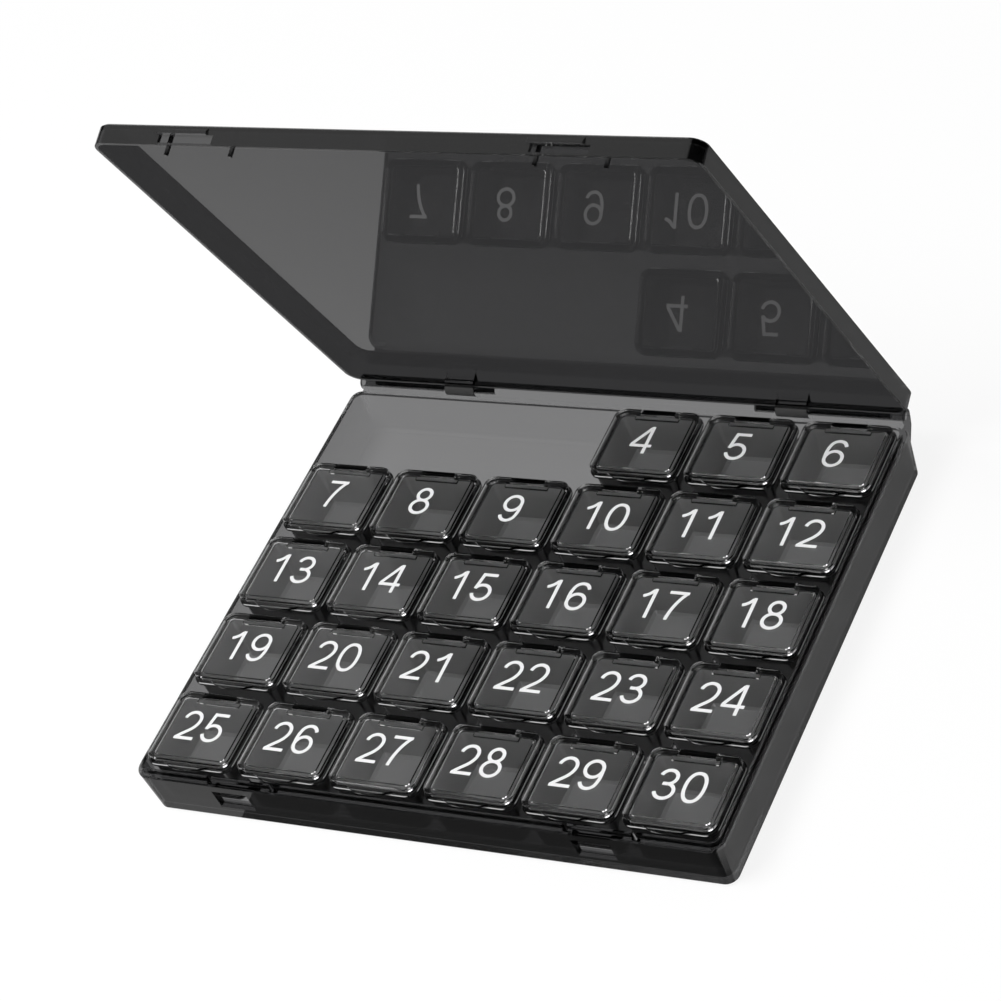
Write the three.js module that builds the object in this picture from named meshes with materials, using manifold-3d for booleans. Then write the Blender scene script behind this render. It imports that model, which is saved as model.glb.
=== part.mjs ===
// Monthly pill organizer: a hinged flat case that holds a grid of small lift-out boxes with flip lids.
// Millimetres, +Z up. The origin is the middle of the case's underside, the front edge faces -Y,
// and the hinges run along +X behind the back wall. The case lid stands open at rest.
import * as THREE from 'three';
import { mergeVertices } from 'three/addons/utils/BufferGeometryUtils.js';
import Module from 'manifold-3d';

const wasm = await Module();
wasm.setup();

// Grid of small boxes, numbered row by row from the back
const columns = 6;
const rows = 5;
const firstDay = 4;

// Gaps between the small boxes, and from their flanges and tabs to the case
const columnGap = 1.7;
const rowGap = 3.9;
const sideGap = 0.45;
const backGap = 0.35;
const tabGap = 0.45;

// Case base: drafted walls, a shoulder for the lid's rim and a raised lip inside it
const shoulderHeight = 14.8;
const lipHeight = 1.4;
const lipThickness = 0.8;
const lipBevel = 0.25;
const caseCornerRadius = 4.5;
const caseCornerSteps = 5;
const baseDraft = 1.15;
const footBevel = 0.6;
const shoulderBevel = 0.4;
const floorThickness = 1.5;
const cavityDraft = 0.4;
const cavityFillet = 1;

// Case lid: a shallow tray with a glossy panel
const lidDepth = 5.8;
const lidWall = 1.1;
const lidWallTaper = 0.15;
const panelThickness = 1.3;
const panelBevel = 0.6;
const openAngle = THREE.MathUtils.degToRad(70);

// Clearances of the case
const rimGap = 0.3;
const lipGap = 0.3;
const catchGap = 0.3;
const legGap = 0.3;

// Case hinge: a long barrel on the base, two knuckles on the lid and a plain pin through each
const hingeSetback = 2.65;
const hingeRise = 1;
const hingeSpacing = 52;
const barrelEndInset = 6.6;
const knuckleRadius = 2.2;
const knuckleSides = 12;
const lidKnuckleLength = 9.4;
const knuckleGap = 0.3;
const casePinRadius = 0.8;
const casePinGap = 0.3;
const casePinInset = 0.4;
const casePinGrip = 6;
const gussetDrop = 8;
const gussetDepth = 0.4;
const gussetReach = 1.9;
const gussetWeb = 1.4;
const armRise = 4.2;
const armFoot = 0.2;

// Latches: a ledge to lift by, a window in the lid's front wall, a catch on the lip and a finger slot
const latchLeft = -58;
const latchRight = 50;
const windowWidth = 16.4;
const windowSill = 0.5;
const windowHeight = 2.4;
const ledgeWidth = 15.5;
const ledgeReach = 0.9;
const ledgeFace = 0.8;
const ledgeHeight = 2;
const ledgeShift = -1.4;
const catchWidth = 8;
const catchReach = 0.35;
const catchHeight = 0.9;
const catchDepth = 1.05;
const catchLeadIn = 0.4;
const slotWidth = 11;
const slotHeight = 7;
const slotDrop = 2.8;

// Locating legs of the lid, beside each latch, and their notches in the lip
const legInner = 43.7;
const legOuter = 63.2;
const legWidth = 0.9;
const legThickness = 0.65;
const legReach = 2.4;

// Small box: a tapered body under a wide flange
const boxWidth = 26.9;
const boxDepth = 24.5;
const boxCornerRadius = 3.4;
const boxCornerSteps = 2;
const boxFloorGap = 0.3;
const flangeDrop = 0.15;
const flangeThickness = 1;
const flangeWidth = 1;
const bodyWall = 1.1;
const bodyFloor = 1.2;
const bodyTaper = 0.6;
const bodyFillet = 0.9;
const insideFillet = 0.8;

// Flip lid of a small box
const boxLidHeight = 1.65;
const boxLidGap = 0.5;
const boxLidInset = 0.45;
const boxLidWall = 1.85;
const boxLidPanel = 1;
const boxLidBevelRun = 0.35;
const boxLidBevelDrop = 0.3;
const boxLidWallTaper = 0.2;
const tabHalfWidth = 7;
const tabReach = 1.95;
const tabThickness = 0.7;
const tabSteps = 6;

// Hinge of a flip lid: a barrel on the body, between two stub pins moulded in the lid
const barrelLength = 10.1;
const barrelRadius = 1.05;
const barrelSides = 8;
const barrelSetback = 1.15;
const barrelTopDrop = 0.05;
const barrelWeb = 1.2;
const barrelEndGap = 0.3;
const barrelFrontGap = 0.3;
const notchWall = 1.3;
const stubRadius = 0.4;
const stubGap = 0.3;
const stubLength = 0.8;
const stubSides = 6;

// Each cut and each joined root runs past its face by this much
const overrun = 0.5;
// Vertices closer than this are one, and no corner is sharper than the second
const weld = 0.0001;
const leastCorner = 0.01;

// Sizes that follow from these
const columnPitch = boxWidth + columnGap;
const rowPitch = boxDepth + rowGap;
const shoulderWidth = lidWall + lipGap;
const wall = shoulderWidth + lipThickness;
const flangeSetback = lidWall + legThickness + tabGap + tabReach - boxLidInset;
const caseWidth = columns * columnPitch - columnGap + 2 * (wall + sideGap);
const caseDepth = flangeSetback + rows * rowPitch - rowGap + backGap + wall;
const frontFace = -caseDepth / 2;
const backFace = caseDepth / 2;
const lipTop = shoulderHeight + lipHeight;
const flangeTop = lipTop - flangeDrop;
const rimPlane = shoulderHeight + rimGap;
const hingeY = backFace + hingeSetback;
const hingeZ = shoulderHeight + hingeRise;
const boxFloor = floorThickness + boxFloorGap;
const bodyHeight = flangeTop - boxFloor;
const boxLidTop = bodyHeight + boxLidGap + boxLidHeight;
const axisY = boxDepth / 2 - barrelSetback;
const axisZ = boxLidTop - barrelTopDrop - barrelRadius;

const casePlastic = new THREE.MeshStandardMaterial({
  color: 0x1b1c1e, roughness: 0.12, metalness: 0, transparent: true, opacity: 0.9,
});
const lidPlastic = new THREE.MeshStandardMaterial({
  color: 0x26282b, roughness: 0.08, metalness: 0, transparent: true, opacity: 0.8,
});
const boxPlastic = new THREE.MeshStandardMaterial({
  color: 0x2b2d30, roughness: 0.15, metalness: 0, transparent: true, opacity: 0.85,
});
const flipLidPlastic = new THREE.MeshStandardMaterial({
  color: 0x3a3c40, roughness: 0.1, metalness: 0, transparent: true, opacity: 0.7,
});
const pinSteel = new THREE.MeshStandardMaterial({ color: 0x8e9194, roughness: 0.35, metalness: 1 });

// Outline of a rounded rectangle, counter-clockwise, with the same number of points at every inset
function roundedRectangle(width, depth, radius, steps, inset) {
  const halfX = width / 2 - inset;
  const halfY = depth / 2 - inset;
  const corner = Math.max(radius - inset, leastCorner);
  const points = [];
  for (let quarter = 0; quarter < 4; quarter += 1) {
    const signX = quarter === 0 || quarter === 3 ? 1 : -1;
    const signY = quarter < 2 ? 1 : -1;
    for (let step = 0; step <= steps; step += 1) {
      const angle = (quarter + step / steps) * Math.PI / 2;
      const x = signX * (halfX - corner) + corner * Math.cos(angle);
      const y = signY * (halfY - corner) + corner * Math.sin(angle);
      points.push(new THREE.Vector2(x, y));
    }
  }
  return points;
}

// A tray's wall section, given as insets and heights, carried round a rounded rectangle.
// The section runs from the middle of the outside, over the rim, to the middle of the inside.
function sweepSection(width, depth, radius, steps, section) {
  const outlines = section.map(([inset]) => roundedRectangle(width, depth, radius, steps, inset));
  const count = outlines[0].length;
  const positions = [];
  outlines.forEach((outline, level) => {
    outline.forEach((point) => positions.push(point.x, point.y, section[level][1]));
  });
  const upright = section[1][1] > section[0][1];
  const faces = [];
  const addFace = (a, b, c) => faces.push(...(upright ? [a, b, c] : [a, c, b]));
  for (let level = 0; level + 1 < outlines.length; level += 1) {
    for (let i = 0; i < count; i += 1) {
      const next = (i + 1) % count;
      const low = level * count;
      const high = low + count;
      addFace(low + i, low + next, high + next);
      addFace(low + i, high + next, high + i);
    }
  }
  const last = (outlines.length - 1) * count;
  THREE.ShapeUtils.triangulateShape(outlines[0], []).forEach(([a, b, c]) => addFace(a, c, b));
  THREE.ShapeUtils.triangulateShape(outlines[outlines.length - 1], [])
    .forEach(([a, b, c]) => addFace(last + a, last + b, last + c));
  const geometry = new THREE.BufferGeometry();
  geometry.setAttribute('position', new THREE.Float32BufferAttribute(positions, 3));
  geometry.setIndex(faces);
  return toSolid(geometry);
}

function toSolid(geometry) {
  geometry.deleteAttribute('normal');
  geometry.deleteAttribute('uv');
  const welded = mergeVertices(geometry, weld);
  return new wasm.Manifold(new wasm.Mesh({
    numProp: 3,
    vertProperties: new Float32Array(welded.attributes.position.array),
    triVerts: new Uint32Array(welded.index.array),
  }));
}

// A block between two x, two y and two z values
function block([x0, x1], [y0, y1], [z0, z1]) {
  const geometry = new THREE.BoxGeometry(x1 - x0, y1 - y0, z1 - z0);
  geometry.translate((x0 + x1) / 2, (y0 + y1) / 2, (z0 + z1) / 2);
  return toSolid(geometry);
}

// A side profile in y and z, extruded along x from x0 to x1
function profileAlongX(points, x0, x1) {
  const shape = new THREE.Shape(points.map(([y, z]) => new THREE.Vector2(y, z)));
  const geometry = new THREE.ExtrudeGeometry(shape, { depth: x1 - x0, bevelEnabled: false });
  const toX = new THREE.Matrix4().makeBasis(
    new THREE.Vector3(0, 1, 0),
    new THREE.Vector3(0, 0, 1),
    new THREE.Vector3(1, 0, 0),
  );
  geometry.applyMatrix4(toX);
  geometry.translate(x0, 0, 0);
  return toSolid(geometry);
}

function rodAlongX(radius, x0, x1, y, z, sides) {
  const geometry = new THREE.CylinderGeometry(radius, radius, x1 - x0, sides);
  geometry.rotateZ(Math.PI / 2);
  geometry.translate((x0 + x1) / 2, y, z);
  return toSolid(geometry);
}

function toMesh(name, solid, material) {
  const result = solid.getMesh();
  const geometry = new THREE.BufferGeometry();
  geometry.setAttribute('position', new THREE.BufferAttribute(result.vertProperties, 3));
  geometry.setIndex(new THREE.BufferAttribute(result.triVerts, 1));
  geometry.computeVertexNormals();
  const mesh = new THREE.Mesh(geometry, material);
  mesh.name = name;
  return mesh;
}

const latchPlaces = [latchLeft, latchRight];
const legPlaces = [-legOuter, -legInner, legInner, legOuter];
const hingePlaces = [-hingeSpacing, hingeSpacing];
const knuckleBore = casePinRadius + casePinGap;
const knuckleSpace = lidKnuckleLength / 2 + knuckleGap;
const knuckleHollow = (knuckleRadius + knuckleGap) / Math.cos(Math.PI / knuckleSides);
const barrelEnd = caseWidth / 2 - barrelEndInset;
const pinInnerEnd = hingeSpacing - knuckleSpace - casePinGrip;
const pinOuterEnd = barrelEnd - casePinInset;

// The base's barrel stands on a gusset behind the back wall. Both are hollowed out round each lid knuckle.
function addBaseBarrel(base) {
  const gussetTop = shoulderHeight - gussetDepth;
  const wallRoot = backFace - baseDraft - overrun / 2;
  const gusset = [
    [wallRoot, gussetTop],
    [wallRoot, gussetTop - gussetDrop],
    [hingeY + gussetReach / 2, hingeZ - knuckleRadius - knuckleGap - gussetWeb],
    [hingeY + gussetReach, gussetTop],
  ];
  let solid = base.add(rodAlongX(knuckleRadius, -barrelEnd, barrelEnd, hingeY, hingeZ, knuckleSides));
  solid = solid.add(profileAlongX(gusset, -barrelEnd, barrelEnd));
  hingePlaces.forEach((place) => {
    const from = place - knuckleSpace;
    const to = place + knuckleSpace;
    solid = solid.subtract(rodAlongX(knuckleHollow, from, to, hingeY, hingeZ, knuckleSides));
  });
  [-1, 1].forEach((side) => {
    const mouth = side * (barrelEnd + overrun);
    const blind = side * (pinInnerEnd - casePinGap);
    const x0 = Math.min(mouth, blind);
    const x1 = Math.max(mouth, blind);
    solid = solid.subtract(rodAlongX(knuckleBore, x0, x1, hingeY, hingeZ, knuckleSides));
  });
  return solid;
}

function makeCaseBase() {
  const draftAt = (z) => baseDraft * (1 - z / shoulderHeight);
  let solid = sweepSection(caseWidth, caseDepth, caseCornerRadius, caseCornerSteps, [
    [baseDraft + footBevel, 0],
    [draftAt(footBevel), footBevel],
    [0, shoulderHeight - shoulderBevel],
    [shoulderBevel, shoulderHeight],
    [shoulderWidth, shoulderHeight],
    [shoulderWidth, lipTop - lipBevel],
    [shoulderWidth + lipBevel, lipTop],
    [wall, lipTop],
    [wall + cavityDraft, floorThickness + cavityFillet],
    [wall + cavityDraft + cavityFillet, floorThickness],
  ]);
  const catchBottom = rimPlane + windowSill + catchGap;
  const catchFront = frontFace + lidWall - catchReach;
  const catchSection = [
    [catchFront, catchBottom],
    [catchFront + catchDepth, catchBottom - overrun],
    [catchFront + catchDepth, catchBottom + catchHeight],
    [catchFront + catchLeadIn, catchBottom + catchHeight],
    [catchFront, catchBottom + catchHeight - catchLeadIn],
  ];
  latchPlaces.forEach((x) => {
    solid = solid.add(profileAlongX(catchSection, x - catchWidth / 2, x + catchWidth / 2));
    solid = solid.subtract(block(
      [x - slotWidth / 2, x + slotWidth / 2],
      [frontFace - overrun, frontFace + wall + cavityDraft + overrun],
      [shoulderHeight - slotDrop - slotHeight, shoulderHeight - slotDrop],
    ));
  });
  const notchHalf = legWidth / 2 + legGap;
  legPlaces.forEach((x) => {
    solid = solid.subtract(block(
      [x - notchHalf, x + notchHalf],
      [frontFace + lidWall - legGap, frontFace + wall + cavityDraft + overrun],
      [rimPlane - legReach - legGap, lipTop + overrun],
    ));
  });
  return addBaseBarrel(solid);
}

// The lid is drawn closed, with its frame on the hinge axis, and turned open by its mesh
function makeCaseLid() {
  const rim = rimPlane - hingeZ;
  const top = rim + lidDepth;
  const ceiling = top - panelThickness;
  const middle = -hingeY;
  const front = frontFace - hingeY;
  const back = backFace - hingeY;
  let solid = sweepSection(caseWidth, caseDepth, caseCornerRadius, caseCornerSteps, [
    [panelBevel, top],
    [0, top - panelBevel],
    [0, rim],
    [lidWall, rim],
    [lidWall + lidWallTaper, ceiling],
  ]).translate([0, middle, 0]);
  const windowTop = rim + windowSill + windowHeight;
  const ledge = [
    [front + overrun, windowTop],
    [front - ledgeReach, windowTop],
    [front - ledgeReach, windowTop + ledgeFace],
    [front, windowTop + ledgeHeight],
    [front + overrun, windowTop + ledgeHeight],
  ];
  latchPlaces.forEach((x) => {
    const ledgeMiddle = x + ledgeShift;
    solid = solid.add(profileAlongX(ledge, ledgeMiddle - ledgeWidth / 2, ledgeMiddle + ledgeWidth / 2));
    solid = solid.subtract(block(
      [x - windowWidth / 2, x + windowWidth / 2],
      [front - overrun, front + lidWall + lidWallTaper + overrun],
      [rim + windowSill, windowTop],
    ));
  });
  legPlaces.forEach((x) => {
    solid = solid.add(block(
      [x - legWidth / 2, x + legWidth / 2],
      [front + lidWall - overrun / 2, front + lidWall + legThickness],
      [rim - legReach, ceiling + overrun],
    ));
  });
  const arm = [
    [back - overrun, armFoot],
    [0, armFoot],
    [0, knuckleRadius * Math.cos(Math.PI / knuckleSides)],
    [back - overrun, armRise],
  ];
  const half = lidKnuckleLength / 2;
  hingePlaces.forEach((place) => {
    solid = solid.add(rodAlongX(knuckleRadius, place - half, place + half, 0, 0, knuckleSides));
    solid = solid.add(profileAlongX(arm, place - half, place + half));
    const from = place - half - overrun;
    const to = place + half + overrun;
    solid = solid.subtract(rodAlongX(knuckleBore, from, to, 0, 0, knuckleSides));
  });
  return solid;
}

// A pin reaches from the barrel's end, through a lid knuckle, into the barrel's middle stretch
function makeCasePin() {
  const half = (pinOuterEnd - pinInnerEnd) / 2;
  return rodAlongX(casePinRadius, -half, half, 0, 0, knuckleSides);
}

// A small box's frame is the middle of its flange outline, at its underside
function makeBoxBody() {
  const wallInset = flangeWidth + bodyWall;
  const flangeUnder = bodyHeight - flangeThickness;
  const shell = sweepSection(boxWidth, boxDepth, boxCornerRadius, boxCornerSteps, [
    [flangeWidth + bodyTaper + bodyFillet, 0],
    [flangeWidth + bodyTaper, bodyFillet],
    [flangeWidth, flangeUnder],
    [0, flangeUnder],
    [0, bodyHeight],
    [wallInset, bodyHeight],
    [wallInset + bodyTaper, bodyFloor + insideFillet],
    [wallInset + bodyTaper + insideFillet, bodyFloor],
  ]);
  const half = barrelLength / 2;
  const web = [
    [axisY - barrelWeb / 2, bodyHeight - flangeThickness / 2],
    [axisY + barrelWeb / 2, bodyHeight - flangeThickness / 2],
    [axisY + barrelWeb / 2, axisZ],
    [axisY - barrelWeb / 2, axisZ],
  ];
  let solid = shell.add(rodAlongX(barrelRadius, -half, half, axisY, axisZ, barrelSides));
  solid = solid.add(profileAlongX(web, -half, half));
  [-1, 1].forEach((side) => {
    const mouth = side * (half + overrun);
    const end = side * (half + barrelEndGap - stubLength - stubGap);
    const x0 = Math.min(mouth, end);
    const x1 = Math.max(mouth, end);
    solid = solid.subtract(rodAlongX(stubRadius + stubGap, x0, x1, axisY, axisZ, stubSides));
  });
  return solid;
}

// A flip lid's frame is on its hinge axis
function makeFlipLid() {
  const top = boxLidTop - axisZ;
  const rim = top - boxLidHeight;
  const width = boxWidth - 2 * boxLidInset;
  const depth = boxDepth - 2 * boxLidInset;
  const front = -depth / 2 - axisY;
  let solid = sweepSection(width, depth, boxCornerRadius - boxLidInset, boxCornerSteps, [
    [boxLidBevelRun, top],
    [0, top - boxLidBevelDrop],
    [0, rim],
    [boxLidWall, rim],
    [boxLidWall + boxLidWallTaper, top - boxLidPanel],
  ]).translate([0, -axisY, 0]);
  const lens = new THREE.Shape();
  lens.moveTo(-tabHalfWidth, front);
  lens.quadraticCurveTo(0, front - 2 * tabReach, tabHalfWidth, front);
  lens.lineTo(tabHalfWidth, front + overrun);
  lens.lineTo(-tabHalfWidth, front + overrun);
  const tab = new THREE.ExtrudeGeometry(lens, {
    depth: tabThickness, bevelEnabled: false, curveSegments: tabSteps,
  });
  tab.translate(0, 0, rim);
  solid = solid.add(toSolid(tab));
  const half = barrelLength / 2 + barrelEndGap;
  const notchFront = -barrelRadius - barrelFrontGap;
  solid = solid.add(block(
    [-half - notchWall, half + notchWall],
    [notchFront - notchWall, notchFront + overrun],
    [rim, top - boxLidPanel / 2],
  ));
  solid = solid.subtract(block(
    [-half, half],
    [notchFront, depth / 2 - axisY + overrun],
    [rim - overrun, top + overrun],
  ));
  [-1, 1].forEach((side) => {
    const root = side * (half + overrun);
    const tip = side * (half - stubLength);
    solid = solid.add(rodAlongX(stubRadius, Math.min(root, tip), Math.max(root, tip), 0, 0, stubSides));
  });
  return solid;
}

const organizer = new THREE.Group();
organizer.add(toMesh('case_base', makeCaseBase(), casePlastic));

const caseLid = toMesh('case_lid', makeCaseLid(), lidPlastic);
caseLid.position.set(0, hingeY, hingeZ);
caseLid.rotation.x = -openAngle;
organizer.add(caseLid);

[['hinge_pin_left', -1], ['hinge_pin_right', 1]].forEach(([name, side]) => {
  const pin = toMesh(name, makeCasePin(), pinSteel);
  pin.position.set(side * (pinOuterEnd + pinInnerEnd) / 2, hingeY, hingeZ);
  organizer.add(pin);
});

const boxBody = makeBoxBody();
const flipLid = makeFlipLid();
for (let day = firstDay; day <= columns * rows; day += 1) {
  const column = (day - 1) % columns;
  const rowFromFront = rows - 1 - Math.floor((day - 1) / columns);
  const name = `box_${String(day).padStart(2, '0')}`;
  const place = new THREE.Group();
  place.position.set(
    (column + 0.5 - columns / 2) * columnPitch,
    frontFace + flangeSetback + rowFromFront * rowPitch + boxDepth / 2,
    boxFloor,
  );
  place.add(toMesh(name, boxBody, boxPlastic));
  const lid = toMesh(`${name}_lid`, flipLid, flipLidPlastic);
  lid.position.set(0, axisY, axisZ);
  place.add(lid);
  organizer.add(place);
}

export default organizer;
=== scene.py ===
import math

import bmesh
import bpy
from bpy.props import FloatProperty, FloatVectorProperty, IntProperty, PointerProperty
from mathutils import Matrix, Vector


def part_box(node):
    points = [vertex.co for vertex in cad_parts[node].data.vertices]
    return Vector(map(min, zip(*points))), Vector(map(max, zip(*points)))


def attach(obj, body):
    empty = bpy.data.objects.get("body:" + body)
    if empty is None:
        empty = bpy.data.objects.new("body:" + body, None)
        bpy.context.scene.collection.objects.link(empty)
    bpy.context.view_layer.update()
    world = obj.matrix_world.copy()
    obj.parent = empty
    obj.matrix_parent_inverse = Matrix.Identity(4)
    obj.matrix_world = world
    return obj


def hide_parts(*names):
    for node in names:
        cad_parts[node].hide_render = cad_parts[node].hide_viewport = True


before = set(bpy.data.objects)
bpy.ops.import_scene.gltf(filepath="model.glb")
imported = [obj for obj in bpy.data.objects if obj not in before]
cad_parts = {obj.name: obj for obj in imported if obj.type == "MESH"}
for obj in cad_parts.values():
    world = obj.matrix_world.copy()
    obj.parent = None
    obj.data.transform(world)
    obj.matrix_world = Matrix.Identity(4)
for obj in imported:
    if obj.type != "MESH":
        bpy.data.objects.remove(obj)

bl_info = {
    "name": "Monthly pill organizer",
    "version": (1, 0, 0),
    "blender": (4, 5, 0),
    "location": "View3D > Sidebar > Organizer",
    "description": "Builds the smoke case, its small boxes with flip lids and numbers, and the stage",
    "category": "Add Mesh",
}

MM = 0.001
DAYS = range(4, 31)
COLUMNS, ROWS = 6, 5


def length(name, default, description):
    """A size in millimetres on the tool's panel, kept in metres."""
    return FloatProperty(
        name=name, description=description, default=default * MM, precision=5, unit="LENGTH",
        subtype="DISTANCE", min=0,
    )


def shade(name, default, description):
    """A colour on the tool's panel."""
    return FloatVectorProperty(
        name=name, description=description, default=default, size=3, subtype="COLOR", min=0, max=1,
    )


def count(name, default, description):
    """A whole number on the tool's panel."""
    return IntProperty(name=name, description=description, default=default, min=1)


def number(name, default, description, top=10.0):
    """A share, strength or power on the tool's panel."""
    return FloatProperty(name=name, description=description, default=default, min=0, max=top)


class CaseSizes(bpy.types.PropertyGroup):
    """Sizes of the case that the photo shows."""

    shoulder: length("Shoulder height", 14.8, "Height of the shoulder that the lid's rim comes down on")
    lip: length("Lip height", 1.4, "How far the lip stands above the shoulder")
    shoulder_width: length("Shoulder width", 1.4, "From the outer face to the lip")
    wall: length("Wall", 2.2, "From the outer face to the lip's inner face")
    draft: length("Draft", 1.15, "How far the wall leans in at the foot")
    foot: length("Foot bevel", 0.6, "Bevel round the underside")
    floor: length("Floor", 1.5, "Thickness of the case's floor")
    corner: length("Corner radius", 4.5, "Radius of the case's corners")
    corner_steps: count("Corner steps", 14, "Faces round each corner")
    lid_depth: length("Lid depth", 5.8, "Height of the closed lid")
    lid_wall: length("Lid wall", 1.1, "Thickness of the lid's wall")
    panel: length("Panel", 1.3, "Thickness of the lid's panel")
    rim_gap: length("Rim gap", 0.3, "Gap between the shoulder and the closed lid's rim")
    open_angle: FloatProperty(
        name="Open angle", description="How far the case lid stands open", default=math.radians(70),
        subtype="ANGLE",
    )
    hinge_setback: length("Hinge setback", 2.65, "From the back face to the hinge's axis")
    hinge_rise: length("Hinge rise", 1.0, "From the shoulder up to the hinge's axis")
    hinge_spacing: length("Hinge place", 52.0, "From the middle to each of the lid's knuckles")
    knuckle: length("Knuckle radius", 2.2, "Radius of the hinge barrel and knuckles")
    knuckle_half: length("Half knuckle", 4.7, "Half the length of a lid knuckle")
    barrel_inset: length("Barrel inset", 2.6, "From the case's side to the end of the hinge barrel")
    pin_grip: length("Pin grip", 6.0, "How far a pin reaches past the lid's knuckle")
    bore: length("Pin bore", 1.1, "Radius of the bore for a hinge pin")
    latch_left: FloatProperty(name="Left latch", description="Place of the left latch", default=-58 * MM)
    latch_right: FloatProperty(name="Right latch", description="Place of the right latch", default=50 * MM)
    round: length("Edge radius", 0.2, "Radius of the moulded edges")


class BoxSizes(bpy.types.PropertyGroup):
    """Sizes of the small boxes and their flip lids."""

    width: length("Width", 26.9, "Width of a box's flange")
    depth: length("Depth", 24.5, "Depth of a box's flange")
    corner: length("Corner radius", 3.4, "Radius of a box's corners")
    corner_steps: count("Corner steps", 8, "Faces round each corner")
    flange: length("Flange", 1.0, "Thickness and reach of the flange")
    wall: length("Wall", 1.1, "Thickness of a box's wall")
    floor: length("Floor", 1.2, "Thickness of a box's floor")
    taper: length("Taper", 0.6, "How far a wall leans in towards the floor")
    lid_gap: length("Lid gap", 0.5, "Gap between the flange and the flip lid")
    lid_height: length("Lid height", 1.65, "Height of a flip lid")
    lid_inset: length("Lid inset", 0.45, "From the flange's edge to the flip lid")
    lid_wall: length("Lid wall", 1.85, "Thickness of a flip lid's wall")
    lid_bevel: length("Lid bevel", 0.35, "Width of the bevel round a flip lid")
    lid_bevel_drop: length("Lid bevel height", 0.3, "Height of the bevel round a flip lid")
    lid_panel: length("Lid panel", 1.0, "Thickness of a flip lid's top")
    tab_half: length("Tab half width", 7.0, "Half the width of the thumb tab")
    tab_reach: length("Tab reach", 1.95, "How far the thumb tab stands out")
    barrel: length("Barrel", 10.1, "Length of the hinge barrel")
    barrel_radius: length("Barrel radius", 1.05, "Radius of the hinge barrel")
    barrel_setback: length("Barrel setback", 1.15, "From the flange's back edge to the hinge barrel's axis")
    digit: length("Number height", 10.0, "Height of a printed number")
    ink: length("Ink", 0.02, "Thickness of the printed ink")


class Finishes(bpy.types.PropertyGroup):
    """Colours and gloss of the plastics, the steel and the ink, with painted light and painted shade on
    some faces.
    """

    case_tint: shade("Case smoke", (0.205, 0.205, 0.207), "Tint of the case's plastic")
    # Share of painted light: a pale diffuse layer on marked faces of the case and its lid, which the lamps
    # light paler
    case_haze: number("Case haze", 0.055, "Share of haze on marked faces of the case and its lid", 1.0)
    # Painted shade: a darker tint for the base's front and right walls than for the rest of the case
    front_tint: shade("Front wall smoke", (0.04, 0.04, 0.041), "Tint of the base's front and right walls")
    panel_tint: shade("Lid smoke", (0.035, 0.035, 0.036), "Tint of the case lid's plastic")
    # Painted shade, in part: the walls' smoke tint is near-black, far darker than the thin floor, so the
    # gaps between boxes stay dark
    box_tint: shade("Box smoke", (0.05, 0.05, 0.051), "Tint of a small box's walls")
    box_floor: shade("Box floor smoke", (0.75, 0.75, 0.753), "Tint of a small box's thin floor")
    flip_tint: shade("Flip lid smoke", (0.95, 0.95, 0.95), "Tint of a flip lid's plastic")
    # Painted light: the grey of the pale diffuse layer on marked faces, and its share inside a small box
    # and on its rim
    haze_grey: shade("Haze", (0.5, 0.5, 0.5), "Colour of the haze in the case and the small boxes")
    box_haze: number("Box haze", 0.7, "Share of haze inside a small box and on its rim", 1.0)
    ink: shade("Ink", (0.86, 0.86, 0.86), "Colour of the printed numbers")
    steel: shade("Steel", (0.52, 0.53, 0.55), "Colour of the hinge pins")
    case_ior: number("Case refraction", 1.22, "Index of refraction of the case's plastic", 3.0)
    box_ior: number("Box refraction", 1.5, "Index of refraction of the boxes' plastic", 3.0)


class StageSettings(bpy.types.PropertyGroup):
    """Floor, lamp, surroundings and camera."""

    floor: shade("Floor", (0.93, 0.93, 0.93), "Colour of the floor")
    key: number("Key lamp", 24.5, "Power of the soft lamp overhead on the left in watts", 500.0)
    fill: number("Fill", 0.25, "Strength of the surroundings' fill")
    lens: FloatProperty(name="Lens", description="Focal length of the camera in millimetres", default=129.1)


# Meshes from sections and blocks

# Points nearer to each other than this become one
MERGE_DISTANCE = 0.0000005
# Corners that turn less than this, in radians, stay as they are
LEAST_TURN = 0.1
# The largest share of a side that the arc at its end may take
MOST_OF_SIDE = 0.42


def rounded_outline(width, depth, radius, steps, inset):
    """Points of a rounded rectangle, counter-clockwise, as many at every inset."""
    half_x, half_y = width / 2 - inset, depth / 2 - inset
    corner = max(radius - inset, 0.00001)
    points = []
    for quarter in range(4):
        sign_x = 1 if quarter in (0, 3) else -1
        sign_y = 1 if quarter < 2 else -1
        for step in range(steps + 1):
            angle = (quarter + step / steps) * math.pi / 2
            points.append((
                sign_x * (half_x - corner) + corner * math.cos(angle),
                sign_y * (half_y - corner) + corner * math.sin(angle),
            ))
    return points


def rounded_section(points, radius, steps=3):
    """A wall section with an arc at each corner."""
    result = [points[0]]
    for before, point, after in zip(points, points[1:], points[2:]):
        a, p, b = Vector(before), Vector(point), Vector(after)
        to_a, to_b = a - p, b - p
        turn = math.pi - to_a.angle(to_b)
        if turn < LEAST_TURN:
            result.append(tuple(p))
            continue
        reach = min(radius * math.tan(turn / 2), MOST_OF_SIDE * to_a.length, MOST_OF_SIDE * to_b.length)
        start, end = p + to_a.normalized() * reach, p + to_b.normalized() * reach
        for step in range(steps + 1):
            t = step / steps
            result.append(tuple(start.lerp(p, t).lerp(p.lerp(end, t), t)))
    result.append(points[-1])
    return result


def as_mesh(name, bm):
    """A mesh from loose faces, with shared points merged and all faces turned outward."""
    bmesh.ops.remove_doubles(bm, verts=bm.verts, dist=MERGE_DISTANCE)
    bmesh.ops.recalc_face_normals(bm, faces=bm.faces)
    mesh = bpy.data.meshes.new(name)
    bm.to_mesh(mesh)
    bm.free()
    return mesh


def wall_between(bm, near, far):
    """Side faces from one ring of points to another with as many."""
    for i in range(len(near)):
        j = (i + 1) % len(near)
        bm.faces.new((near[i], near[j], far[j], far[i]))


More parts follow.
